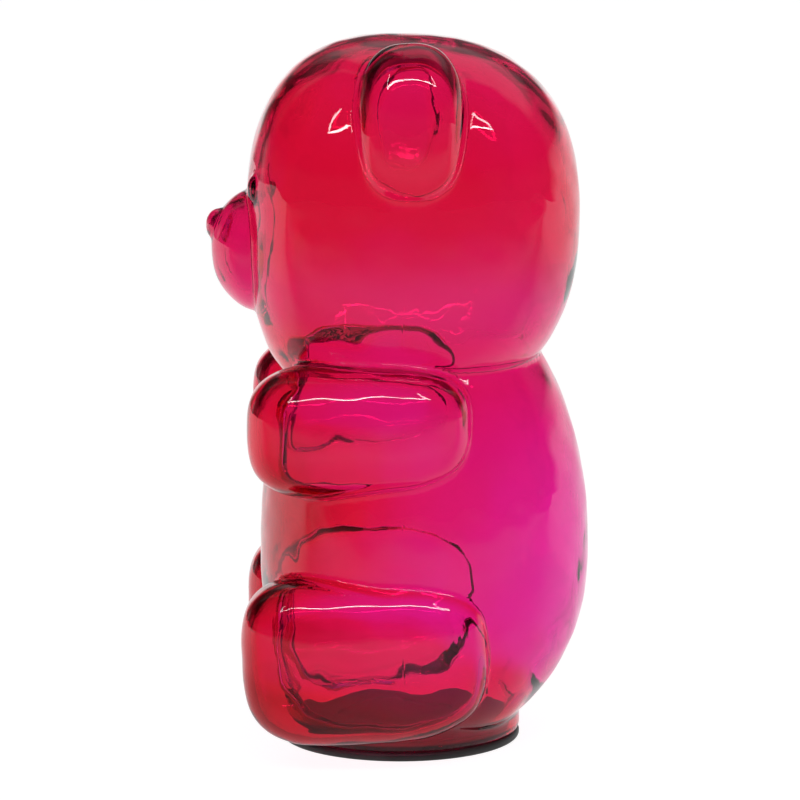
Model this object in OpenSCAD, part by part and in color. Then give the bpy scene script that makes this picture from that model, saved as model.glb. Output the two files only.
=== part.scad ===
// Hollow blown glass bear that sits on a black rubber stopper.
// The bear faces -Y, its left side is +X, and +Z is up.
// The origin is on the floor, at the centre of the stopper's underside.

/* [Overall] */
// Height from the floor to the top of the head
figure_h = 250; // [230:1:320]
// Thickness of the blown glass
wall_t = 3; // [2:0.1:4.5]

/* [Head] */
// Width of the head
head_w = 116; // [90:1:145]
// How far the head reaches forwards of its middle
head_front = 52.7; // [42:0.1:64]
// How far the head reaches back from its middle
head_back = 63.8; // [50:0.1:78]
// How far the head reaches up from its middle
head_up = 63; // [50:0.5:76]
// How far the head reaches down from its middle, into the body
head_down = 70; // [56:0.5:84]
// Thickness of one ear from side to side
ear_w = 42; // [34:0.5:52]
// Depth of one ear from front to back
ear_depth = 38.4; // [30:0.2:46]
// How far an ear reaches up from its middle
ear_up = 32; // [26:0.5:40]
// How far an ear reaches down from its middle
ear_down = 24.5; // [18:0.5:30]
// How far an ear stands out past the side of the head
ear_out = 8; // [5:0.5:14]
// Distance from the top of the head down to the top of an ear
ear_drop = 2; // [0.5:0.5:12]

/* [Face] */
// Width of the muzzle
muzzle_w = 48; // [36:0.5:60]
// How far the muzzle reaches up from its middle
muzzle_up = 18; // [14:0.5:24]
// How far the muzzle reaches down from its middle
muzzle_down = 24; // [18:0.5:30]
// How far the muzzle stands out of the head
muzzle_out = 12.7; // [8:0.1:20]
// Width of the nose
nose_w = 16; // [10:0.5:22]
// Height of the nose
nose_h = 12; // [8:0.5:16]
// How far the nose stands out past the muzzle's tip
nose_out = 1.7; // [1:0.1:4]
// Length of the mouth groove under the nose
mouth_h = 11; // [7:0.5:15]
// Width of the mouth groove
mouth_w = 3.4; // [2:0.1:6]
// Depth of the mouth groove
mouth_in = 1.2; // [0.4:0.1:1.4]
// Diameter of a raised eye
eye_d = 12; // [8:0.5:16]
// How far the eyes stand out of the head
eye_out = 1.8; // [0.6:0.1:3]
// Distance between the middles of the eyes
eye_spacing = 46; // [32:1:58]

/* [Body] */
// Width of the body
body_w = 116; // [95:1:140]
// How far the belly reaches forwards of the body's middle
belly_front = 46.6; // [38:0.1:56]
// How far the back reaches behind the body's middle
body_back = 69.9; // [56:0.1:84]
// Height of the widest part of the body above the floor
waist_z = 68; // [54:1:84]
// How far an arm reaches forwards of its middle
arm_front = 33.1; // [26:0.1:42]
// How far an arm reaches back from its middle
arm_back = 43.9; // [34:0.1:54]
// Height of one arm
arm_h = 46.4; // [36:0.2:56]
// Thickness of one arm from side to side
arm_w = 46; // [38:0.5:56]
// How far an arm stands out past the side of the body
arm_out = 8; // [5:0.5:14]
// How far a leg reaches forwards of its middle
leg_front = 34.9; // [28:0.1:44]
// How far a leg reaches back from its middle
leg_back = 50.1; // [40:0.1:60]
// How far a leg reaches up from its middle
leg_up = 26; // [20:0.5:32]
// How far a leg reaches down from its middle
leg_down = 32.8; // [26:0.1:40]
// Thickness of one leg from side to side
leg_w = 44; // [36:0.5:54]
// How far a leg stands out past the side of the body
leg_out = 9; // [6:0.5:15]
// Height of the legs' lowest point above the floor
leg_z = 8; // [6:0.1:12]

/* [Foot] */
// Outside diameter of the round glass foot
foot_d = 85.5; // [68:0.5:94]
// Thickness of the glass in the foot
foot_wall_t = 4; // [3:0.1:6]
// Height of the glass foot's straight band
foot_band_h = 9; // [7:0.5:12]
// Radius of the fire-polished lower edge of the foot
foot_edge_r = 1; // [0.5:0.1:1.5]

/* [Stopper] */
// Thickness of the stopper's flange
flange_t = 3; // [2.8:0.1:5]
// Radius that rounds the rim of the flange
flange_edge_r = 1.3; // [0.4:0.1:1.35]
// Height of the plug above the flange
plug_h = 3.4; // [3:0.1:5]
// Radius that rounds the upper edge of the plug
plug_edge_r = 0.6; // [0.3:0.1:1]
// How far the plug stands back from the bore
plug_gap = 1.2; // [0.8:0.1:2]
// Radial clearance of the sealing rib in the bore
rib_gap = 0.05; // [0.01:0.01:0.1]
// Radius of the sealing rib's round section
rib_r = 1.3; // [1.1:0.1:1.5]
// Diameter of the shallow dish sunk into the crown of the plug
dish_d = 43.2; // [30:0.2:60]
// Depth of the dish in the crown
dish_in = 1.2; // [0.4:0.1:2]
// Diameter of the round pad in the middle of the underside
pad_d = 32; // [20:1:44]
// Width of the flat ring the figure stands on
tread_w = 6; // [4:0.5:12]
// Depth of the shallow ring sunk into the underside
relief_in = 0.8; // [0.3:0.1:1.2]

/* [Hidden] */

glass = [0.86, 0.16, 0.48, 0.6];
rubber = [0.06, 0.06, 0.06];
round_fn = 128;
edge_fn = 32;
lap = 1; // how far a solid or a cut runs past its joint

// The foot, its bore and the plug share one axis, Z.
seat_gap = 0.1;
foot_z = flange_t + seat_gap;
foot_r = foot_d / 2;
bore_r = foot_r - foot_wall_t;
foot_top = foot_z + foot_band_h;
bore_rise = 3;
plug_r = bore_r - plug_gap;
plug_top = flange_t + plug_h;
rib_centre_r = bore_r - rib_gap - rib_r;
rib_lift = 0.3;
rib_z = flange_t + rib_lift + rib_r;

// Where the middle of each form is.
head_y = -1;
head_z = figure_h - head_up;
body_y = -3;
seat_y = 1;
seat_rise = 33;
ear_x = head_w / 2 + ear_out - ear_w / 2;
ear_y = 2.6;
ear_z = figure_h - ear_drop - ear_up;
arm_x = body_w / 2 + arm_out - arm_w / 2;
arm_y = -20;
arm_below_head = 70.5;
arm_z = head_z - arm_below_head;
leg_x = body_w / 2 + leg_out - leg_w / 2;
leg_y = -20.5;
leg_mid_z = leg_z + leg_down;
muzzle_below_head = 11;
muzzle_z = head_z - muzzle_below_head;
nose_below_head = 4;
nose_z = head_z - nose_below_head;
mouth_below_nose = 2.5;
mouth_z = nose_z - nose_h / 2 - mouth_below_nose - mouth_h / 2;
eye_above_head = 10.5;
eye_z = head_z + eye_above_head;

// How far the body's upper end stays below the head's middle, and the seat past the foot.
body_below_head = 18;
body_sink = 5;
seat_side_past = 9;
seat_front_past = 5.5;
seat_back_past = 7.5;
seat_up = 40;
seat_down = 45;
limb_lean = 1.5;
head_jut = 3.7;

// A soft form: its middle, how far it reaches each way, how square its outline is, how square
// it is from side to side, its lean about X, and how far its lower end is pushed forwards.
function soft(at, side, front, back, up, down, square, puff = 0, lean = 0, jut = 0) =
    [at, side, front, back, up, down, square, lean, jut, puff == 0 ? square : puff];
function f_at(f) = f[0];
function f_reach(f, d) = [f[1], d[1] < 0 ? f[2] : f[3], d[2] > 0 ? f[4] : f[5]];
function f_square(f) = f[6];
function f_lean(f) = f[7];
function f_jut(f) = f[8];
function f_puff(f) = f[9];

head = soft(at = [0, head_y, head_z], side = head_w / 2, front = head_front, back = head_back,
    up = head_up, down = head_down, square = 2.47, jut = head_jut);
body = soft(at = [0, body_y, waist_z], side = body_w / 2, front = belly_front, back = body_back,
    up = head_z - body_below_head - waist_z, down = waist_z + body_sink, square = 2.16);
seat = soft(at = [0, seat_y, foot_top + seat_rise], side = foot_r + seat_side_past,
    front = foot_r + seat_front_past, back = foot_r + seat_back_past, up = seat_up,
    down = seat_down, square = 2.8);
arm = soft(at = [arm_x, arm_y, arm_z], side = arm_w / 2, front = arm_front, back = arm_back,
    up = arm_h / 2, down = arm_h / 2, square = 3, puff = 2.4, lean = limb_lean);
leg = soft(at = [leg_x, leg_y, leg_mid_z], side = leg_w / 2, front = leg_front, back = leg_back,
    up = leg_up, down = leg_down, square = 3.2, puff = 2.7, lean = limb_lean);
ear = soft(at = [ear_x, ear_y, ear_z], side = ear_w / 2, front = ear_depth / 2,
    back = ear_depth / 2, up = ear_up, down = ear_down, square = 2.6, puff = 2.5);

// The face's forms grow out of the surface of the form behind them.
function front_reach(f, x, z) = let(
    height = z > 0 ? f[4] : f[5],
    across = pow(abs(x) / f[1], f_square(f)),
    above = pow(abs(z) / height, f_square(f)))
    f[2] * pow(1 - across - above, 1 / f_square(f));

muzzle_root = 8;
muzzle_back = 20;
face_y = head_y - head_front;
muzzle = soft(at = [0, face_y + muzzle_root, muzzle_z], side = muzzle_w / 2,
    front = muzzle_root + muzzle_out, back = muzzle_back, up = muzzle_up, down = muzzle_down,
    square = 2.1);
nose_root = 3.9;
nose_back = 8;
nose = soft(at = [0, face_y - muzzle_out + nose_root, nose_z], side = nose_w / 2,
    front = nose_root + nose_out, back = nose_back, up = nose_h / 2, down = nose_h / 2,
    square = 2.2);
mouth_reach = 4;
mouth_lean = 14;
mouth_y = muzzle[0][1] - front_reach(muzzle, 0, mouth_z - muzzle_z);
mouth = soft(at = [0, mouth_y, mouth_z], side = mouth_w / 2, front = mouth_reach,
    back = mouth_in, up = mouth_h / 2, down = mouth_h / 2, square = 2, lean = mouth_lean);
eye_root = 5;
eye_y = head_y - front_reach(head, eye_spacing / 2, eye_above_head);
eye = soft(at = [eye_spacing / 2, eye_y + eye_root, eye_z], side = eye_d / 2,
    front = eye_root + eye_out, back = eye_root, up = eye_d / 2, down = eye_d / 2, square = 2.6);

// Each form is drawn as rings of points from its top to its bottom.
outer_points = 30;
outer_rings = 15;
inner_points = 26;
inner_rings = 14;
nose_points = 16;
eye_points = 20;
mouth_points = 12;
face_rings = 8;

function toward(turn, drop) = [sin(drop) * cos(turn), sin(drop) * sin(turn), cos(drop)];
function skin_factor(d, square, puff) = let(
    outline = pow(pow(abs(d[1]), square) + pow(abs(d[2]), square), 1 / square))
    pow(pow(abs(d[0]), puff) + pow(outline, puff), -1 / puff);
function jutted(p, f) =
    p[2] < 0 ? [p[0], p[1] - f_jut(f) * pow(p[2] / f[5], 2), p[2]] : p;
function skin_point(f, inset, d) = let(
    size = f_reach(f, d) - [inset, inset, inset],
    k = skin_factor(d, f_square(f), f_puff(f)))
    jutted([d[0] * size[0] * k, d[1] * size[1] * k, d[2] * size[2] * k], f);
function skin_points(f, inset, around, down) = concat(
    [skin_point(f, inset, [0, 0, 1])],
    [for (ring = [1:down - 1], k = [0:around - 1])
        skin_point(f, inset, toward((k + 0.5) * 360 / around, ring * 180 / down))],
    [skin_point(f, inset, [0, 0, -1])]);
function skin_faces(around, down) = let(
    last = 1 + (down - 1) * around,
    spot = function(ring, k) 1 + (ring - 1) * around + k % around)
    concat(
        [for (k = [0:around - 1]) [0, spot(1, k + 1), spot(1, k)]],
        [for (ring = [1:down - 2], k = [0:around - 1])
            [spot(ring, k), spot(ring, k + 1), spot(ring + 1, k)]],
        [for (ring = [1:down - 2], k = [0:around - 1])
            [spot(ring, k + 1), spot(ring + 1, k + 1), spot(ring + 1, k)]],
        [for (k = [0:around - 1]) [last, spot(down - 1, k), spot(down - 1, k + 1)]]);

module form(f, inset, around, down)
    translate(f_at(f))
        rotate([f_lean(f), 0, 0])
            polyhedron(points = skin_points(f, inset, around, down), faces = skin_faces(around, down));

module both_sides() {
    children();
    mirror([1, 0, 0]) children();
}

// The joined figure, at full size or set in by a thickness.
module figure(inset, around, down) {
    form(head, inset, around, down);
    form(body, inset, around, down);
    form(seat, inset, around, down);
    form(muzzle, inset, around, down);
    both_sides() form(arm, inset, around, down);
    both_sides() form(leg, inset, around, down);
    both_sides() form(ear, inset, around, down);
}

// resize() keeps the size here: it joins the forms as one skin before they are cut.
module outer_skin()
    resize([0, 0, 0]) difference() {
        union() {
            figure(0, outer_points, outer_rings);
            form(nose, 0, nose_points, face_rings);
            both_sides() form(eye, 0, eye_points, face_rings);
        }
        form(mouth, 0, mouth_points, face_rings);
    }

module inner_skin()
    resize([0, 0, 0]) figure(wall_t, inner_points, inner_rings);

// The straight glass band of the foot, with a rounded lower edge.
module foot_band()
    rotate_extrude($fn = round_fn)
        union() {
            translate([0, foot_z + foot_edge_r]) square([foot_r, foot_band_h - foot_edge_r]);
            translate([0, foot_z]) square([foot_r - foot_edge_r, foot_band_h]);
            translate([foot_r - foot_edge_r, foot_z + foot_edge_r]) circle(foot_edge_r, $fn = edge_fn);
        }

// The bore starts below the floor so that it clears the whole foot.
module foot_bore()
    translate([0, 0, -foot_top])
        cylinder(r = bore_r, h = 2 * foot_top + bore_rise, $fn = round_fn);

module bear_shell()
    color(glass) difference() {
        union() {
            outer_skin();
            foot_band();
        }
        inner_skin();
        foot_bore();
    }

module flange_section()
    union() {
        square([foot_r - flange_edge_r, flange_t]);
        translate([0, flange_edge_r]) square([foot_r, flange_t - 2 * flange_edge_r]);
        for (z = [flange_edge_r, flange_t - flange_edge_r])
            translate([foot_r - flange_edge_r, z]) circle(flange_edge_r, $fn = edge_fn);
    }

// A low solid plug with one sealing rib round it.
module plug_section() {
    translate([0, flange_t - lap]) square([plug_r, lap + plug_h - plug_edge_r]);
    translate([0, flange_t - lap]) square([plug_r - plug_edge_r, lap + plug_h]);
    translate([plug_r - plug_edge_r, plug_top - plug_edge_r]) circle(plug_edge_r, $fn = edge_fn);
    translate([rib_centre_r, rib_z]) circle(rib_r, $fn = edge_fn);
}

module crown_dish()
    translate([0, plug_top - dish_in]) square([dish_d / 2, dish_in + lap]);

module underside_relief()
    translate([pad_d / 2, -lap]) square([foot_r - tread_w - pad_d / 2, lap + relief_in]);

module base_stopper()
    color(rubber) rotate_extrude($fn = round_fn)
        difference() {
            union() {
                flange_section();
                plug_section();
            }
            crown_dish();
            underside_relief();
        }

bear_shell();
base_stopper();
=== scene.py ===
"""Gives a packed glass bear its looks: lacquered blown glass, on a moulded rubber stopper."""

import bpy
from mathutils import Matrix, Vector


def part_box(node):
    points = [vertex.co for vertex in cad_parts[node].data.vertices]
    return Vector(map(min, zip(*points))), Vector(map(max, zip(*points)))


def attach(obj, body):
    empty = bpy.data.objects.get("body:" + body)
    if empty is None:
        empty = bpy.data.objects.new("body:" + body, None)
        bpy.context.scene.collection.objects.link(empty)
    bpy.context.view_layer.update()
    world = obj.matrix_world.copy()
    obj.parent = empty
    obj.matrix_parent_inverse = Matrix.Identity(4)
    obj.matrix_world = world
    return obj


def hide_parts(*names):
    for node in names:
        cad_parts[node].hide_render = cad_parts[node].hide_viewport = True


bl_info = {
    "name": "Glass Bear Figure",
    "version": (1, 0, 0),
    "blender": (4, 5, 0),
    "location": "View3D > Sidebar > Glass Bear",
    "description": "Builds a blown glass bear, its rubber stopper and a pale studio around the model",
    "category": "Object",
}

import math

import bpy
import numpy as np
import openvdb
from bpy.props import FloatProperty, IntProperty, PointerProperty, StringProperty
from mathutils import Vector

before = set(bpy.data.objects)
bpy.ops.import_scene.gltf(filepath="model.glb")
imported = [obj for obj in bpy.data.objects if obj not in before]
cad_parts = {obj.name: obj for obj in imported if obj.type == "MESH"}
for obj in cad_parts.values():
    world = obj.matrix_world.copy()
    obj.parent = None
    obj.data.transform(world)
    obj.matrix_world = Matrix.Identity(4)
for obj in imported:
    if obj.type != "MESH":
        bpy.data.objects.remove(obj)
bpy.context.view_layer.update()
shell_low, shell_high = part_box("bear_shell")
stopper_low, stopper_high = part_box("base_stopper")

MM = 0.001
PALE_LACQUER = "#E51E9D"
DENSE_LACQUER = "#DD0E35"
# Painted shade: a deep red round the foot that stands for the shaded floor under the figure.
PAINTED_SHADE_RED = "#B40A1E"


# ---------------------------------------------------------------- settings


def length(name, description, default, low=0.0, high=1.0):
    """A size in metres that a user can change."""
    return FloatProperty(
        name=name,
        description=description,
        default=default,
        min=low,
        max=high,
        unit="LENGTH",
        subtype="DISTANCE",
        precision=4,
    )


def hex_colour(name, description, default):
    """A colour that a user can change, as an sRGB hex value."""
    return StringProperty(name=name, description=description, default=default)


class BearGlassSettings(bpy.types.PropertyGroup):
    """Sizes and colours of the blown glass."""

    wall: length("Wall", "Thickness of the blown glass", 3.0 * MM, 1.5 * MM, 6 * MM)
    wall_wave: length("Wall wave", "How much the wall's thickness wanders", 0.25 * MM, 0, 1 * MM)
    wave_size: length("Wave size", "Distance from one thick spot to the next", 26 * MM, 8 * MM, 60 * MM)
    skin_wave: length("Skin wave", "How much the outer skin wanders", 0.08 * MM, 0, 0.5 * MM)
    ripple_size: length("Ripple size", "Distance from one ripple to the next", 11 * MM, 4 * MM, 60 * MM)
    crease: length("Crease", "Radius of the creases between the limbs, outside", 1.2 * MM, 0.5 * MM, 5 * MM)
    inner_crease: length("Inner crease", "Radius of the creases inside", 5 * MM, 1 * MM, 12 * MM)
    grain: length("Mesh step", "Size of a mesh face on the glass", 1.15 * MM, 0.8 * MM, 6 * MM)
    magenta: hex_colour("Magenta", "Lacquer where it is thin", PALE_LACQUER)
    red: hex_colour("Red", "Lacquer where it is thick", DENSE_LACQUER)
    # The deep red is painted shade round the foot, standing for the shaded floor under the figure.
    painted_shade_red: hex_colour("Deep red", "Lacquer pooled round the foot", PAINTED_SHADE_RED)
    seed: IntProperty(name="Seed", description="Seed of the wall's waves", default=7, min=0)


class BearStopperSettings(bpy.types.PropertyGroup):
    """Sizes and colour of the rubber stopper."""

    edge: length("Edge", "Radius that rounds the rim of the flange", 1.3 * MM, 0.3 * MM, 2 * MM)
    rib: length("Rib", "Radius of the sealing rib's round section", 1.3 * MM, 0.5 * MM, 2 * MM)
    dish: length("Dish", "Radius of the dish sunk into the crown", 21.6 * MM, 10 * MM, 30 * MM)
    dish_in: length("Dish depth", "Depth of the dish in the crown", 1.2 * MM, 0.2 * MM, 3 * MM)
    relief: length("Relief", "Depth of the ring sunk into the underside", 0.8 * MM, 0.2 * MM, 2 * MM)
    segments: IntProperty(name="Segments", description="Faces around the stopper", default=192, min=24)
    rubber: hex_colour("Rubber", "Colour of the rubber", "#121212")


class BearStageSettings(bpy.types.PropertyGroup):
    """The studio around the figure."""

    camera_distance: length("Camera distance", "Level distance from the figure's axis", 1.147, 0.3, 5)
    camera_height: length("Camera height", "Height of the lens above the floor", 0.2856, 0, 3)
    floor: hex_colour("Floor", "Colour of the floor", "#FAFAFA")
    backdrop: hex_colour("Backdrop", "Light from the white walls of the studio", "#FFFFFF")


# Light of the studio by height (the sine of the angle above level): white walls, a dark gap, a dim ceiling.
WALL_LIGHT = [(0.0, 1.0), (0.12, 1.0), (0.24, 0.1), (0.46, 0.1), (0.62, 0.5)]
# Light by the way round, in degrees from straight behind the figure, positive past its face.
SEEN_ROUND = [(-180, 1.0), (18, 1.0), (26, 0.15), (48, 0.15), (58, 1.0)]
MIRRORED_ROUND = [(-80, 0.06), (-70, 1.0), (18, 1.0), (26, 0.15), (44, 0.15), (50, 0.5), (58, 0.06)]
# Glow of the floor as glass mirrors it, by metres in front of the figure's axis: a painted reflection,
# with painted shade of the figure just in front of it.
FLOOR_LIGHT = [(-0.15, 0.93), (0.0, 0.7), (0.09, 0.2), (0.14, 0.2), (0.3, 0.36), (0.85, 0.06)]
LIT_FLOOR = 0.93
WORLD_STRENGTH = 1.02


# ---------------------------------------------------------------- materials


def grey(value):
    return [value, value, value, 1.0]


def linear(colour):
    """An sRGB hex colour as linear RGBA."""
    parts = [int(colour.lstrip("#")[i : i + 2], 16) / 255 for i in (0, 2, 4)]
    return [p / 12.92 if p <= 0.04045 else ((p + 0.055) / 1.055) ** 2.4 for p in parts] + [1.0]


def add(tree, kind, inputs=None, stops=(), **settings):
    """Adds a node: attributes and sockets by name, a socket or value for each input, and ramp stops."""
    node = tree.nodes.new(kind)
    for key, value in settings.items():
        if hasattr(node, key):
            setattr(node, key, value)
        else:
            node.inputs[key.replace("_", " ")].default_value = value
    for socket, source in (inputs or {}).items():
        if isinstance(source, bpy.types.NodeSocket):
            tree.links.new(source, node.inputs[socket])
        else:
            node.inputs[socket].default_value = source
    if stops:
        elements = node.color_ramp.elements
        while len(elements) < len(stops):
            elements.new(0.5)
        for element, (place, colour) in zip(elements, stops):
            element.position = place
            element.color = colour
    return node


def new_material(name):
    """An empty node material and its tree."""
    material = bpy.data.materials.new(name)
    material.use_nodes = True
    material.node_tree.nodes.clear()
    return material, material.node_tree


def repeats(size):
    """The noise scale that gives spots of this size in metres."""
    return 1 / size


# The inputs and the output of a colour mix node.
MIX_SHARE, MIX_FIRST, MIX_SECOND, MIXED = 0, 6, 7, 2


def glass_output(tree, surface, shadow_tint):
    """Lets the lamps shine through glass to the floor, and gives the material its output."""
    path = add(tree, "ShaderNodeLightPath")
    clear = add(tree, "ShaderNodeBsdfTransparent", Color=shadow_tint)
    shadow = path.outputs["Is Shadow Ray"]
    mix = add(tree, "ShaderNodeMixShader", {0: shadow, 1: surface, 2: clear.outputs[0]})
    add(tree, "ShaderNodeOutputMaterial", {"Surface": mix.outputs[0]})


# At shares of the shell's height: how thin the lacquer is (0 red, 1 magenta; below 0, low down, is
# painted shade, a deep red that stands for the shaded floor under the figure seen through the glass),
# how much thinner it is a metre further back, and how much of the flanks' thinning there is.
COAT_BY_HEIGHT = [
    (0.0, -0.1, 0.0, 0.0),
    (0.05, -0.1, 2.0, 0.0),
    (0.085, 0.0, 10.0, 0.1),
    (0.11, 0.1, 12.0, 0.4),
    (0.14, 0.35, 11.0, 1.0),
    (0.2, 0.3, 12.0, 1.0),
    (0.29, 0.18, 13.0, 1.0),
    (0.38, 0.18, 11.0, 1.0),
    (0.44, 0.18, 8.0, 1.0),
    (0.52, 0.1, 5.0, 1.0),
    (0.58, 0.2, 4.0, 0.5),
    (0.62, 0.3, 3.0, 0.2),
    (0.66, 0.18, 2.0, 0.1),
    (0.7, 0.04, 1.0, 0.1),
    (0.8, 0.0, 1.0, 0.2),
    (0.9, 0.05, 1.5, 0.3),
    (1.0, 0.15, 2.0, 0.3),
]


# A ramp holds only values from 0 to 1, so the coat is stored lifted and its slope is stored scaled down.
COAT_LIFT, SLOPE_SCALE = 0.5, 20.0
FLANK_STARTS, FLANK_ENDS, FLANK_THINNING = 57 * MM, 64 * MM, 0.3
FRONT_STARTS, FRONT_ENDS, FRONT_THINNING = -40 * MM, -56 * MM, 0.25
FRONT_LOW, FRONT_HIGH = 36 * MM, 60 * MM
RUNS_SIZE, RUNS_SHARE = 71.4 * MM, 0.25
# The tint's ramp goes from 0.3 below red to full magenta, with half the runs' spread taken off.
TINT_FROM, TINT_TO, RED_PLACE = 0.325, 1.625, 0.23
RIPPLE_SIZE, SAG_SIZE = 22.2 * MM, 16.7 * MM
SEAM_WIDTH, SEAM_HEIGHT = 1.0 * MM, 0.4
SODA_GLASS_IOR = 1.5


def blown_glass(magenta, red, painted_shade_red):
    """Glass blown in a two-part mould and sprayed with a lacquer that lets light through.

    It gives the eye a clear body, magenta where the lacquer is thin and red where it is thick, with
    sharp, slightly rippled reflections and a faint mould seam. Its deep red low round the foot is
    painted shade, standing for the shaded floor under the figure seen through the glass.
    """
    material, tree = new_material("lacquered_blown_glass")
    where = add(tree, "ShaderNodeTexCoord").outputs["Object"]
    axes = add(tree, "ShaderNodeSeparateXYZ", {0: where})
    runs = add(tree, "ShaderNodeTexNoise", {"Vector": where}, Scale=repeats(RUNS_SIZE), Detail=3.0)
    # The lacquer is thickest on the head, and thinnest low on the back and on the limbs' flanks. The
    # deeper red low round the foot is painted shade, for the shaded floor under the figure.
    height = add(tree, "ShaderNodeMapRange", {"Value": axes.outputs["Z"]}, From_Max=shell_high.z)
    stops = [
        (share, [COAT_LIFT + thin, back / SLOPE_SCALE, flanks, 1.0])
        for share, thin, back, flanks in COAT_BY_HEIGHT
    ]
    by_height = add(tree, "ShaderNodeValToRGB", {"Fac": height.outputs[0]}, stops)
    coat = add(tree, "ShaderNodeSeparateColor", {"Color": by_height.outputs[0]})
    slope = add(
        tree, "ShaderNodeMath", {0: axes.outputs["Y"], 1: coat.outputs["Green"]}, operation="MULTIPLY"
    )
    thin = add(
        tree,
        "ShaderNodeMath",
        {0: slope.outputs[0], 1: SLOPE_SCALE, 2: coat.outputs["Red"]},
        operation="MULTIPLY_ADD",
    )
    aside = add(tree, "ShaderNodeMath", {0: axes.outputs["X"]}, operation="ABSOLUTE")
    flank = add(
        tree,
        "ShaderNodeMapRange",
        {"Value": aside.outputs[0]},
        interpolation_type="SMOOTHSTEP",
        From_Min=FLANK_STARTS,
        From_Max=FLANK_ENDS,
        To_Max=FLANK_THINNING,
    )
    limbs = add(
        tree,
        "ShaderNodeMath",
        {0: flank.outputs[0], 1: coat.outputs["Blue"], 2: thin.outputs[0]},
        operation="MULTIPLY_ADD",
    )
    # It is thin too on what juts furthest forwards: the nose, the muzzle and the ends of the arms.
    front = add(
        tree,
        "ShaderNodeMapRange",
        {"Value": axes.outputs["Y"]},
        interpolation_type="SMOOTHSTEP",
        From_Min=FRONT_ENDS,
        From_Max=FRONT_STARTS,
        To_Min=FRONT_THINNING,
        To_Max=0.0,
    )
    raised = add(
        tree, "ShaderNodeMapRange", {"Value": axes.outputs["Z"]}, From_Min=FRONT_LOW, From_Max=FRONT_HIGH
    )
    ahead = add(tree, "ShaderNodeMath", {0: front.outputs[0], 1: raised.outputs[0]}, operation="MULTIPLY")
    bare = add(tree, "ShaderNodeMath", {0: limbs.outputs[0], 1: ahead.outputs[0]}, operation="ADD")
    wander = add(
        tree,
        "ShaderNodeMath",
        {0: runs.outputs["Fac"], 1: RUNS_SHARE, 2: bare.outputs[0]},
        operation="MULTIPLY_ADD",
    )
    ramp_place = add(
        tree, "ShaderNodeMapRange", {"Value": wander.outputs[0]}, From_Min=TINT_FROM, From_Max=TINT_TO
    )
    # The ramp's deep red end is painted shade, used low round the foot.
    tint = add(
        tree,
        "ShaderNodeValToRGB",
        {"Fac": ramp_place.outputs[0]},
        [(0.0, painted_shade_red), (RED_PLACE, red), (1.0, magenta)],
    )

    ripple = add(tree, "ShaderNodeTexNoise", {"Vector": where}, Scale=repeats(RIPPLE_SIZE), Detail=2.0)
    seam_gap = add(tree, "ShaderNodeMath", {0: axes.outputs["Y"]}, operation="ABSOLUTE")
    seam = add(
        tree,
        "ShaderNodeMapRange",
        {"Value": seam_gap.outputs[0]},
        interpolation_type="SMOOTHSTEP",
        From_Max=SEAM_WIDTH / 2,
        To_Min=SEAM_HEIGHT,
        To_Max=0.0,
    )
    relief = add(tree, "ShaderNodeMath", {0: ripple.outputs["Fac"], 1: seam.outputs[0]}, operation="ADD")
    bump = add(tree, "ShaderNodeBump", {"Height": relief.outputs[0]}, Strength=0.25, Distance=0.4 * MM)
    glass = add(
        tree,
        "ShaderNodeBsdfPrincipled",
        {"Base Color": tint.outputs[0], "Normal": bump.outputs[0]},
        Roughness=0.0,
        IOR=SODA_GLASS_IOR,
        Transmission_Weight=1.0,
        Specular_IOR_Level=0.2,
    )
    glass_output(tree, glass.outputs[0], [0.95, 0.6, 0.75, 1.0])
    return material


def bare_glass():
    """The bare inside of the blown glass: clear, and a little wavy where the wall sagged in the mould."""
    material, tree = new_material("bare_blown_glass")
    where = add(tree, "ShaderNodeTexCoord").outputs["Object"]
    sag = add(tree, "ShaderNodeTexNoise", {"Vector": where}, Scale=repeats(SAG_SIZE), Detail=1.0)
    bump = add(tree, "ShaderNodeBump", {"Height": sag.outputs["Fac"]}, Strength=0.2, Distance=0.5 * MM)
    glass = add(
        tree,
        "ShaderNodeBsdfPrincipled",
        {"Normal": bump.outputs[0]},
        Base_Color=[0.99, 0.985, 0.985, 1.0],
        Roughness=0.0,
        IOR=SODA_GLASS_IOR,
        Transmission_Weight=1.0,
    )
    glass_output(tree, glass.outputs[0], [1.0, 1.0, 1.0, 1.0])
    return material


# The spark-eroded grain, and the patches where handling has polished it or dust lies on it.
GRAIN_SIZE, WEAR_SIZE, DUST = 0.4 * MM, 16.7 * MM, 0.02
CROWN_LOW, CROWN_HIGH = 4.6 * MM, 5.1 * MM
NITRILE_IOR = 1.52


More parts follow.
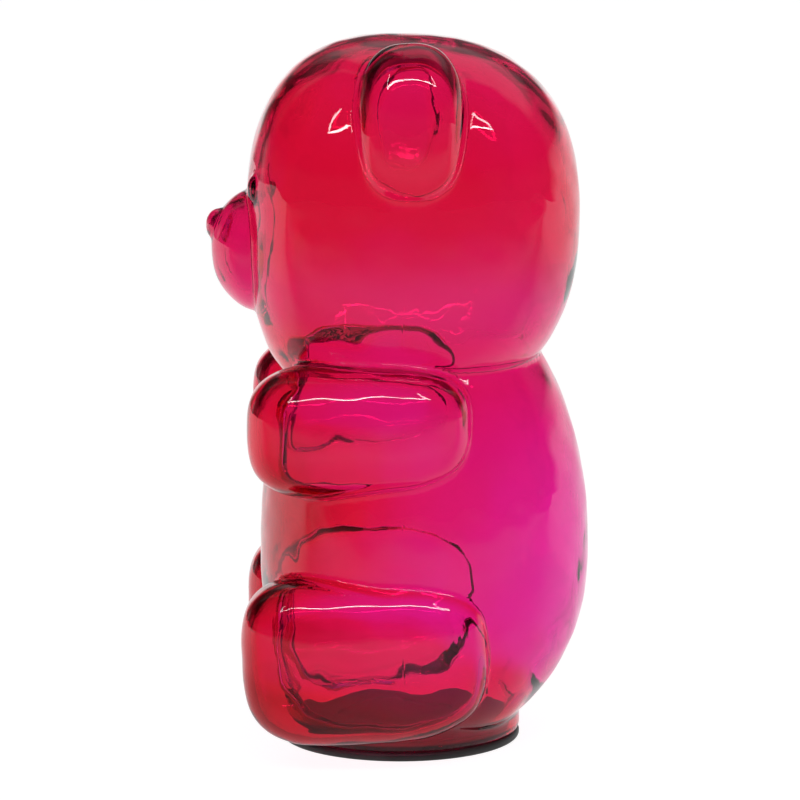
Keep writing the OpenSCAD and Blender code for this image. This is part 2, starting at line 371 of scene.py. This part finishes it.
def moulded_rubber(colour):
    """Nitrile rubber pressed in a spark-eroded mould: soft black with a fine even grain and pale dust."""
    material, tree = new_material("moulded_black_rubber")
    where = add(tree, "ShaderNodeTexCoord").outputs["Object"]
    grain = add(tree, "ShaderNodeTexNoise", {"Vector": where}, Scale=repeats(GRAIN_SIZE), Detail=3.0)
    wear = add(tree, "ShaderNodeTexNoise", {"Vector": where}, Scale=repeats(WEAR_SIZE), Detail=5.0)
    dusty = [c + DUST for c in colour[:3]] + [1.0]
    skin = add(tree, "ShaderNodeValToRGB", {"Fac": wear.outputs["Fac"]}, [(0.35, colour), (0.75, dusty)])
    # The crown is given a light warm brown.
    axes = add(tree, "ShaderNodeSeparateXYZ", {0: where})
    crown = add(
        tree, "ShaderNodeMapRange", {"Value": axes.outputs["Z"]}, From_Min=CROWN_LOW, From_Max=CROWN_HIGH
    )
    tint = add(
        tree,
        "ShaderNodeMix",
        {MIX_SHARE: crown.outputs[0], MIX_FIRST: skin.outputs[0], MIX_SECOND: [0.2, 0.14, 0.09, 1.0]},
        data_type="RGBA",
    )
    rough = add(tree, "ShaderNodeMapRange", {"Value": wear.outputs["Fac"]}, To_Min=0.38, To_Max=0.62)
    bump = add(tree, "ShaderNodeBump", {"Height": grain.outputs["Fac"]}, Strength=0.5, Distance=0.05 * MM)
    rubber = add(
        tree,
        "ShaderNodeBsdfPrincipled",
        {"Base Color": tint.outputs[MIXED], "Roughness": rough.outputs[0], "Normal": bump.outputs[0]},
        IOR=NITRILE_IOR,
    )
    add(tree, "ShaderNodeOutputMaterial", {"Surface": rubber.outputs[0]})
    return material


STIPPLE_SIZE = 1.43 * MM


def opal_floor(colour):
    """Opal acrylic lit from below: an even white that hardly takes a shadow, with a fine matt stipple."""
    material, tree = new_material("lit_opal_acrylic")
    where = add(tree, "ShaderNodeTexCoord").outputs["Object"]
    axes = add(tree, "ShaderNodeSeparateXYZ", {0: where})
    stipple = add(tree, "ShaderNodeTexNoise", {"Vector": where}, Scale=repeats(STIPPLE_SIZE), Detail=2.0)
    bump = add(tree, "ShaderNodeBump", {"Height": stipple.outputs["Fac"]}, Strength=0.05, Distance=0.1 * MM)
    # Painted reflection: glass mirrors a sheet that is bright behind, with painted shade of the figure
    # before it, and that ends further on. Only reflected rays see this glow.
    across = add(tree, "ShaderNodeMapRange", {"Value": axes.outputs["X"]}, From_Min=-1.0)
    stops = [((x + 1) / 2, grey(value)) for x, value in FLOOR_LIGHT]
    edge = add(tree, "ShaderNodeValToRGB", {"Fac": across.outputs[0]}, stops)
    depth = add(tree, "ShaderNodeLightPath").outputs["Glossy Depth"]
    mirrored = add(tree, "ShaderNodeMath", {0: depth, 1: 0.5}, operation="GREATER_THAN")
    light = add(tree, "ShaderNodeMix", {0: mirrored.outputs[0], 2: LIT_FLOOR, 3: edge.outputs[0]})
    sheet = add(
        tree,
        "ShaderNodeBsdfPrincipled",
        {"Normal": bump.outputs[0], "Emission Strength": light.outputs[0]},
        Base_Color=grey(0.3),
        Roughness=0.8,
        Specular_IOR_Level=0.0,
        Emission_Color=colour,
    )
    add(tree, "ShaderNodeOutputMaterial", {"Surface": sheet.outputs[0]})
    return material


# ---------------------------------------------------------------- the bear's form


class SoftForm:
    """A rounded form, in millimetres.

    It has a middle, its reach each way, how square its outline is, how square it is from side to side
    (puff), its lean about X in degrees and its jut forwards at the bottom. A paired form is on both
    sides of the figure.
    """

    def __init__(self, at, side, front, back, up, down, square, puff=None, lean=0.0, jut=0.0, paired=False):
        self.at = np.array(at) * MM
        reaches = (side, front, back, up, down)
        self.side, self.front, self.back, self.up, self.down = (reach * MM for reach in reaches)
        self.square = square
        self.puff = puff or square
        self.lean = math.radians(lean)
        self.jut = jut * MM
        self.paired = paired

    def distance(self, points, inset=0.0):
        """Distance from the form's skin, true near the skin and negative inside."""
        x = np.abs(points[..., 0]) if self.paired else points[..., 0]
        x = x - self.at[0]
        y = points[..., 1] - self.at[1]
        z = points[..., 2] - self.at[2]
        if self.lean:
            c, s = math.cos(self.lean), math.sin(self.lean)
            y, z = y * c + z * s, z * c - y * s
        if self.jut:
            y = y + self.jut * np.where(z < 0, (z / self.down) ** 2, 0)
        reach_x = self.side - inset
        reach_y = np.where(y < 0, self.front, self.back) - inset
        reach_z = np.where(z > 0, self.up, self.down) - inset
        e, p = self.square, self.puff
        across, along, above = np.abs(x) / reach_x, np.abs(y) / reach_y, np.abs(z) / reach_z
        outline = np.maximum(along**e + above**e, 1e-9) ** (1 / e)
        gauge = np.maximum(across**p + outline**p, 1e-9) ** (1 / p)
        lift = (outline / gauge) ** (p - 1)
        slope = np.sqrt(
            ((across / gauge) ** (p - 1) / reach_x) ** 2
            + (lift * (along / outline) ** (e - 1) / reach_y) ** 2
            + (lift * (above / outline) ** (e - 1) / reach_z) ** 2
        )
        return (gauge - 1) / np.maximum(slope, 1.0)


def bear_forms():
    """The soft forms of the figure, in millimetres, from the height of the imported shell."""
    top = shell_high.z / MM
    head_up = 63.0
    head_z = top - head_up
    arm_z = head_z - 70.5
    muzzle_z = head_z - 11
    arm_reach = {"front": 33.1, "back": 43.9, "up": 23.2, "down": 23.2}
    leg_reach = {"front": 34.9, "back": 50.1, "up": 26, "down": 32.8}
    ear_reach = {"front": 19.2, "back": 19.2, "up": 32, "down": 24.5}
    body = {
        "head": SoftForm((0, -1, head_z), 58, 52.7, back=63.8, up=head_up, down=70, square=2.47, jut=3.7),
        "body": SoftForm((0, -3, 68), 58, front=46.6, back=69.9, up=head_z - 86, down=73, square=2.16),
        "seat": SoftForm((0, 1, 45), 51.7, front=48.2, back=50.2, up=40, down=45, square=2.8),
        "muzzle": SoftForm((0, -45.7, muzzle_z), 24, front=20.7, back=20, up=21, down=24, square=2.1),
        "arm": SoftForm((43, -20, arm_z), 23, **arm_reach, square=3.0, puff=2.4, lean=1.5, paired=True),
        "leg": SoftForm((45, -20.5, 40.8), 22, **leg_reach, square=3.2, puff=2.7, lean=1.5, paired=True),
        "ear": SoftForm((45, 2.6, top - 34), 21, **ear_reach, square=2.6, puff=2.25, paired=True),
    }
    eye_z = head_z + 10.5
    face = {
        "nose": SoftForm((0, -62.5, head_z - 4), 8, front=5.6, back=8, up=6, down=6, square=2.2),
        "eye": SoftForm((23, -46.1, eye_z), 6, front=6.8, back=5, up=6, down=6, square=2.6, paired=True),
    }
    mouth_z = head_z - 18
    mouth = SoftForm((0, -65.65, mouth_z), 1.7, front=4, back=1.2, up=5.5, down=5.5, square=2, lean=14)
    return body, face, mouth


def blend_union(a, b, radius):
    """Joins two distances with a crease of the given radius."""
    overlap = np.maximum(radius - np.abs(a - b), 0) / radius
    return np.minimum(a, b) - overlap**2 * radius / 4


def blend_cut(a, b, radius):
    """What is inside both, with an edge of the given radius."""
    return -blend_union(-a, -b, radius)


class Waves:
    """A smooth wandering height from a few seeded plane waves, between about -1 and 1."""

    def __init__(self, seed, size, count=14):
        random = np.random.default_rng(seed)
        direction = random.normal(size=(count, 3))
        direction /= np.linalg.norm(direction, axis=1, keepdims=True)
        self.step = direction * (2 * math.pi / (size * random.uniform(0.6, 1.8, (count, 1))))
        self.shift = random.uniform(0, 2 * math.pi, count)
        self.share = 1 / math.sqrt(count)

    def height(self, points):
        total = 0
        for step, shift in zip(self.step, self.shift):
            total = total + np.sin(points @ step + shift)
        return total * self.share


# The round foot: its straight band, the wall round its bore and how far the bore runs on above the band.
FOOT_BAND, FOOT_WALL, BORE_RISE = 9 * MM, 4 * MM, 3 * MM
# Radii where the foot meets the body, where the face's forms meet the head, and at cut edges.
FOOT_CREASE, FACE_CREASE, EDGE = 1.6 * MM, 0.8 * MM, 2 * MM
# The nose is blown thinner than the rest.
NOSE_WALL, NOSE_CREASE = 1.8 * MM, 5 * MM


class GlassField:
    """The glass as a distance: negative in the glass, positive outside it and in its hollow."""

    def __init__(self, settings):
        self.settings = settings
        self.body, self.face, self.mouth = bear_forms()
        self.wall_waves = Waves(settings.seed, settings.wave_size)
        self.skin_waves = Waves(settings.seed + 1, settings.ripple_size)
        self.foot_r = (stopper_high.x - stopper_low.x) / 2
        self.foot_z = shell_low.z
        self.foot_top = self.foot_z + FOOT_BAND
        self.bore_r = self.foot_r - FOOT_WALL
        self.bore_top = self.foot_top + BORE_RISE

    def outer(self, points):
        """Distance from the outer skin."""
        s = self.settings
        d = None
        for form in self.body.values():
            f = form.distance(points)
            d = f if d is None else blend_union(d, f, s.crease)
        radius = np.hypot(points[..., 0], points[..., 1])
        foot = blend_cut(radius - self.foot_r, points[..., 2] - self.foot_top, EDGE)
        d = blend_union(d, foot, FOOT_CREASE)
        for form in self.face.values():
            d = blend_union(d, form.distance(points), FACE_CREASE)
        d = blend_cut(d, -self.mouth.distance(points), FACE_CREASE)
        return d + self.skin_waves.height(points) * s.skin_wave

    def inner(self, points):
        """Distance from the hollow's skin, the bore of the foot included."""
        s = self.settings
        d = None
        for form in self.body.values():
            f = form.distance(points, s.wall)
            d = f if d is None else blend_union(d, f, s.inner_crease)
        d = blend_union(d, self.face["nose"].distance(points, NOSE_WALL), NOSE_CREASE)
        d = d + self.wall_waves.height(points) * s.wall_wave
        radius = np.hypot(points[..., 0], points[..., 1])
        bore = blend_cut(radius - self.bore_r, points[..., 2] - self.bore_top, EDGE)
        return blend_union(d, bore, EDGE)

    def glass(self, points):
        """Distance from the glass, with the foot's lower edge fire-polished."""
        d = blend_cut(self.outer(points), -self.inner(points), FACE_CREASE)
        return blend_cut(d, self.foot_z - points[..., 2], EDGE)


def settle(field, points, passes=3, step=0.04 * MM):
    """Moves points straight onto the field's skin."""
    for _ in range(passes):
        value = field(points)
        slope = np.stack(
            [(field(points + offset) - field(points - offset)) / (2 * step) for offset in np.eye(3) * step],
            axis=-1,
        )
        size = np.maximum((slope**2).sum(-1), 0.2)
        points = points - slope * (value / size)[:, None]
    return points


def skin_of(field, low, high, grain):
    """Points and four-sided faces of the field's skin, worked out on a grid a slab at a time."""
    counts = np.ceil((high - low) / grain).astype(int) + 1
    grid = np.empty(counts, np.float32)
    across = [low[i] + grain * np.arange(counts[i]) for i in range(3)]
    slab = 16
    for start in range(0, counts[0], slab):
        part = across[0][start : start + slab]
        block = np.stack(np.meshgrid(part, across[1], across[2], indexing="ij"), -1)
        grid[start : start + slab] = field(block) / grain
    reach = 3.0
    volume = openvdb.FloatGrid(background=reach)
    volume.copyFromArray(np.clip(grid, -reach, reach))
    points, quads = volume.convertToQuads(0.0)
    return points.astype(float) * grain + low, quads.astype(int)


def mesh_object(name, points, faces, materials, face_slots=None):
    """A smooth-shaded mesh object from arrays."""
    mesh = bpy.data.meshes.new(name)
    mesh.from_pydata(points.tolist(), [], faces.tolist())
    for material in materials:
        mesh.materials.append(material)
    if face_slots is not None:
        mesh.polygons.foreach_set("material_index", face_slots.astype(np.int32))
    mesh.polygons.foreach_set("use_smooth", np.ones(len(mesh.polygons), bool))
    mesh.update()
    piece = bpy.data.objects.new(name, mesh)
    bpy.context.scene.collection.objects.link(piece)
    return piece


LACQUERED_EDGE = 1.2 * MM


class BEAR_OT_glass_shell(bpy.types.Operator):
    """Blow the hollow glass bear, lacquered outside and bare inside"""

    bl_idname = "bear.glass_shell"
    bl_label = "Glass Shell"

    def execute(self, context):
        s = context.scene.bear_glass
        field = GlassField(s)
        grain = s.grain * 1.0
        margin = np.array([3 * MM] * 3)
        low, high = np.array(shell_low) - margin, np.array(shell_high) + margin
        points, quads = skin_of(field.glass, low, high, grain)
        points = settle(field.glass, points)
        middles = points[quads].mean(1)
        inside = -field.inner(middles) > field.outer(middles)
        bare = inside & (middles[:, 2] > field.foot_z + LACQUERED_EDGE)
        materials = [blown_glass(linear(s.magenta), linear(s.red), linear(s.painted_shade_red)), bare_glass()]
        piece = mesh_object("glass_bear", points, quads, materials, bare)
        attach(piece, "glass_bear")
        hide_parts("bear_shell")
        return {"FINISHED"}


# ---------------------------------------------------------------- the stopper


def arc(centre, radius, start, end, steps=8):
    """Points along an arc in the (radius, height) plane, from start to end in degrees."""
    turns = np.radians(np.linspace(start, end, steps + 1))
    return [(centre[0] + radius * math.cos(t), centre[1] + radius * math.sin(t)) for t in turns]


def lathe(name, outline, segments, material):
    """Turns a closed outline, which starts and ends on the axis, into a solid."""
    rings = [p for p in outline if p[0] > 1e-7]
    turns = np.arange(segments) * 2 * math.pi / segments
    points = [(0.0, 0.0, outline[0][1])]
    for r, z in rings:
        points += [(r * math.cos(t), r * math.sin(t), z) for t in turns]
    points.append((0.0, 0.0, outline[-1][1]))
    last = len(points) - 1
    faces = []
    for k in range(segments):
        n = (k + 1) % segments
        faces.append((0, 1 + n, 1 + k))
        for ring in range(len(rings) - 1):
            a, b = 1 + ring * segments, 1 + (ring + 1) * segments
            faces.append((a + k, a + n, b + n, b + k))
        a = 1 + (len(rings) - 1) * segments
        faces.append((a + k, a + n, last))
    mesh = bpy.data.meshes.new(name)
    mesh.from_pydata(points, [], faces)
    mesh.materials.append(material)
    mesh.polygons.foreach_set("use_smooth", np.ones(len(mesh.polygons), bool))
    mesh.update()
    piece = bpy.data.objects.new(name, mesh)
    bpy.context.scene.collection.objects.link(piece)
    return piece


# The stopper: gap to the foot, plug, sealing rib, pad and tread, and the small radius at its other edges.
SEAT_GAP, PLUG_HEIGHT, PLUG_GAP, PLUG_EDGE = 0.1 * MM, 3.4 * MM, 1.2 * MM, 0.6 * MM
RIB_GAP, RIB_HEIGHT = 0.05 * MM, 1.6 * MM
PAD_RADIUS, TREAD, SOFT_EDGE = 16 * MM, 6 * MM, 0.3 * MM


def stopper_outline(s):
    """Half section of the stopper, from the middle of its underside round to the middle of its crown."""
    rim = stopper_high.x
    flange_top = shell_low.z - SEAT_GAP
    bore_r = rim - FOOT_WALL
    plug_r = bore_r - PLUG_GAP
    plug_top = flange_top + PLUG_HEIGHT
    relief_r = rim - TREAD
    rib_r = bore_r - RIB_GAP - s.rib
    reach = math.degrees(math.acos((plug_r - rib_r) / s.rib))
    outline = [(0, 0)]
    outline += arc((PAD_RADIUS - SOFT_EDGE, SOFT_EDGE), SOFT_EDGE, -90, 0, 4)
    outline += [(PAD_RADIUS, s.relief)]
    outline += [(relief_r, s.relief)]
    outline += arc((relief_r + SOFT_EDGE, SOFT_EDGE), SOFT_EDGE, 180, 270, 4)
    outline += arc((rim - s.edge, s.edge), s.edge, -90, 0)
    outline += arc((rim - s.edge, flange_top - s.edge), s.edge, 0, 90)
    outline += [(plug_r + SOFT_EDGE, flange_top)]
    outline += arc((rib_r, flange_top + RIB_HEIGHT), s.rib, -reach, reach, 12)
    outline += arc((plug_r - PLUG_EDGE, plug_top - PLUG_EDGE), PLUG_EDGE, 0, 90, 6)
    outline += arc((s.dish + SOFT_EDGE, plug_top - SOFT_EDGE), SOFT_EDGE, 90, 180, 4)
    outline += [(s.dish - 2 * SOFT_EDGE, plug_top - s.dish_in)]
    outline += [(0, plug_top - s.dish_in)]
    return outline


class BEAR_OT_rubber_stopper(bpy.types.Operator):
    """Mould the rubber stopper with its flange, sealing rib and dished plug"""

    bl_idname = "bear.rubber_stopper"
    bl_label = "Rubber Stopper"

    def execute(self, context):
        s = context.scene.bear_stopper
        piece = lathe("rubber_stopper", stopper_outline(s), s.segments, moulded_rubber(linear(s.rubber)))
        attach(piece, "stopper")
        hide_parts("base_stopper")
        return {"FINISHED"}


# ---------------------------------------------------------------- the stage


def circuit(tree, turn, levels):
    """A grey level by the way round from straight behind the figure, in degrees, positive past its face."""
    share = add(tree, "ShaderNodeMapRange", {"Value": turn}, From_Min=-math.pi, From_Max=math.pi)
    stops = [((degrees + 180) / 360, grey(value)) for degrees, value in levels]
    return add(tree, "ShaderNodeValToRGB", {"Fac": share.outputs[0]}, stops)


def studio_world(backdrop):
    """White walls, a dark gap over them and a dim ceiling. Glass mirrors a room that is dark in front."""
    world = bpy.data.worlds.new("white_studio")
    world.use_nodes = True
    tree = world.node_tree
    tree.nodes.clear()
    place = add(tree, "ShaderNodeTexCoord")
    axes = add(tree, "ShaderNodeSeparateXYZ", {0: place.outputs["Generated"]})
    wall_stops = [(z, grey(value)) for z, value in WALL_LIGHT]
    walls = add(tree, "ShaderNodeValToRGB", {"Fac": axes.outputs["Z"]}, wall_stops)
    past_face = add(tree, "ShaderNodeMath", {0: axes.outputs["Y"], 1: -1.0}, operation="MULTIPLY")
    behind = add(tree, "ShaderNodeMath", {0: axes.outputs["X"], 1: -1.0}, operation="MULTIPLY")
    turn = add(tree, "ShaderNodeMath", {0: past_face.outputs[0], 1: behind.outputs[0]}, operation="ARCTAN2")
    seen_round = circuit(tree, turn.outputs[0], SEEN_ROUND)
    mirrored_round = circuit(tree, turn.outputs[0], MIRRORED_ROUND)
    path = add(tree, "ShaderNodeLightPath")
    depth = path.outputs["Glossy Depth"]
    mirrored = add(tree, "ShaderNodeMath", {0: depth, 1: 0.5}, operation="GREATER_THAN").outputs[0]
    around = add(
        tree,
        "ShaderNodeMix",
        {MIX_SHARE: mirrored, MIX_FIRST: seen_round.outputs[0], MIX_SECOND: mirrored_round.outputs[0]},
        data_type="RGBA",
    )
    room = add(
        tree,
        "ShaderNodeMix",
        {MIX_SHARE: 1.0, MIX_FIRST: walls.outputs[0], MIX_SECOND: around.outputs[MIXED]},
        data_type="RGBA",
        blend_type="MULTIPLY",
    )
    plain = add(
        tree,
        "ShaderNodeMix",
        {MIX_SHARE: path.outputs["Is Camera Ray"], MIX_FIRST: room.outputs[MIXED], MIX_SECOND: backdrop},
        data_type="RGBA",
    )
    light = add(tree, "ShaderNodeBackground", {"Color": plain.outputs[MIXED]}, Strength=WORLD_STRENGTH)
    add(tree, "ShaderNodeOutputWorld", {"Surface": light.outputs[0]})
    return world


def softbox(name, at, aim, size, power):
    """A rectangular lamp at a place, facing a point."""
    lamp = bpy.data.lights.new(name, "AREA")
    lamp.shape = "RECTANGLE"
    lamp.size, lamp.size_y = size
    lamp.energy = power
    holder = bpy.data.objects.new(name, lamp)
    holder.location = at
    holder.rotation_euler = (Vector(aim) - Vector(at)).to_track_quat("-Z", "Y").to_euler()
    bpy.context.scene.collection.objects.link(holder)
    return holder


# Half the floor's side, in metres: its far edge stays out of every view.
FLOOR_HALF = 40.0
# The strip lamp over the figure's left side, with a short upright lamp at each of its ends.
STRIP_AT, STRIP_SIZE, STRIP_POWER = (0.85, 0.0, 1.1), (1.9, 0.04), 5.5
POST_SIZE, POST_POWER = (0.05, 0.5), 1.1
POSTS = {"face_post": (0.85, -1.0, 1.4), "back_post": (0.85, 1.0, 1.4)}
CAMERA_TURN, CAMERA_TILT, CAMERA_LENS, CAMERA_SENSOR, CAMERA_SIGHT = 88.9, 8.18, 147.2, 36, 100
# Light trapped in the glass needs many turns to find its way out.
ALL_TURNS, MIRRORED_TURNS, THROUGH_TURNS = 32, 24, 32


class BEAR_OT_stage(bpy.types.Operator):
    """Set the pale floor, the studio light and the camera"""

    bl_idname = "bear.stage"
    bl_label = "Stage"

    def execute(self, context):
        s = context.scene.bear_stage
        scene = context.scene
        scene.world = studio_world(linear(s.backdrop))
        scene.view_settings.view_transform = "Standard"
        scene.cycles.max_bounces = ALL_TURNS
        scene.cycles.glossy_bounces = MIRRORED_TURNS
        scene.cycles.transmission_bounces = THROUGH_TURNS
        middle = Vector((0, 0, shell_high.z / 2))

        corners = np.array([(-1, -1, 0), (1, -1, 0), (1, 1, 0), (-1, 1, 0)]) * FLOOR_HALF
        floor = mesh_object("floor", corners, np.array([[0, 1, 2, 3]]), [opal_floor(linear(s.floor))])

        softbox("side_strip", STRIP_AT, middle, STRIP_SIZE, STRIP_POWER)
        for name, at in POSTS.items():
            softbox(name, at, middle, POST_SIZE, POST_POWER)

        camera = bpy.data.objects.new("camera", bpy.data.cameras.new("camera"))
        camera.data.sensor_width = CAMERA_SENSOR
        camera.data.lens = CAMERA_LENS
        camera.data.clip_end = CAMERA_SIGHT
        azimuth, tilt = math.radians(CAMERA_TURN), math.radians(CAMERA_TILT)
        distance = s.camera_distance
        camera.location = (distance * math.sin(azimuth), -distance * math.cos(azimuth), s.camera_height)
        camera.rotation_euler = (math.pi / 2 - tilt, 0, azimuth)
        scene.collection.objects.link(camera)
        scene.camera = camera
        return {"FINISHED"}


class BEAR_PT_panel(bpy.types.Panel):
    """Lists the steps that build the figure"""

    bl_idname = "BEAR_PT_panel"
    bl_label = "Glass Bear"
    bl_space_type = "VIEW_3D"
    bl_region_type = "UI"
    bl_category = "Glass Bear"

    def draw(self, context):
        for settings, operator in (
            (context.scene.bear_glass, BEAR_OT_glass_shell),
            (context.scene.bear_stopper, BEAR_OT_rubber_stopper),
            (context.scene.bear_stage, BEAR_OT_stage),
        ):
            box = self.layout.box()
            for key in settings.__annotations__:
                box.prop(settings, key)
            box.operator(operator.bl_idname)


CLASSES = (
    BearGlassSettings,
    BearStopperSettings,
    BearStageSettings,
    BEAR_OT_glass_shell,
    BEAR_OT_rubber_stopper,
    BEAR_OT_stage,
    BEAR_PT_panel,
)


def register():
    for cls in CLASSES:
        bpy.utils.register_class(cls)
    bpy.types.Scene.bear_glass = PointerProperty(type=BearGlassSettings)
    bpy.types.Scene.bear_stopper = PointerProperty(type=BearStopperSettings)
    bpy.types.Scene.bear_stage = PointerProperty(type=BearStageSettings)


def unregister():
    del bpy.types.Scene.bear_stage
    del bpy.types.Scene.bear_stopper
    del bpy.types.Scene.bear_glass
    for cls in reversed(CLASSES):
        bpy.utils.unregister_class(cls)


def main():
    register()
    bpy.ops.bear.stage()
    bpy.ops.bear.glass_shell()
    bpy.ops.bear.rubber_stopper()


if __name__ == "__main__":
    main()
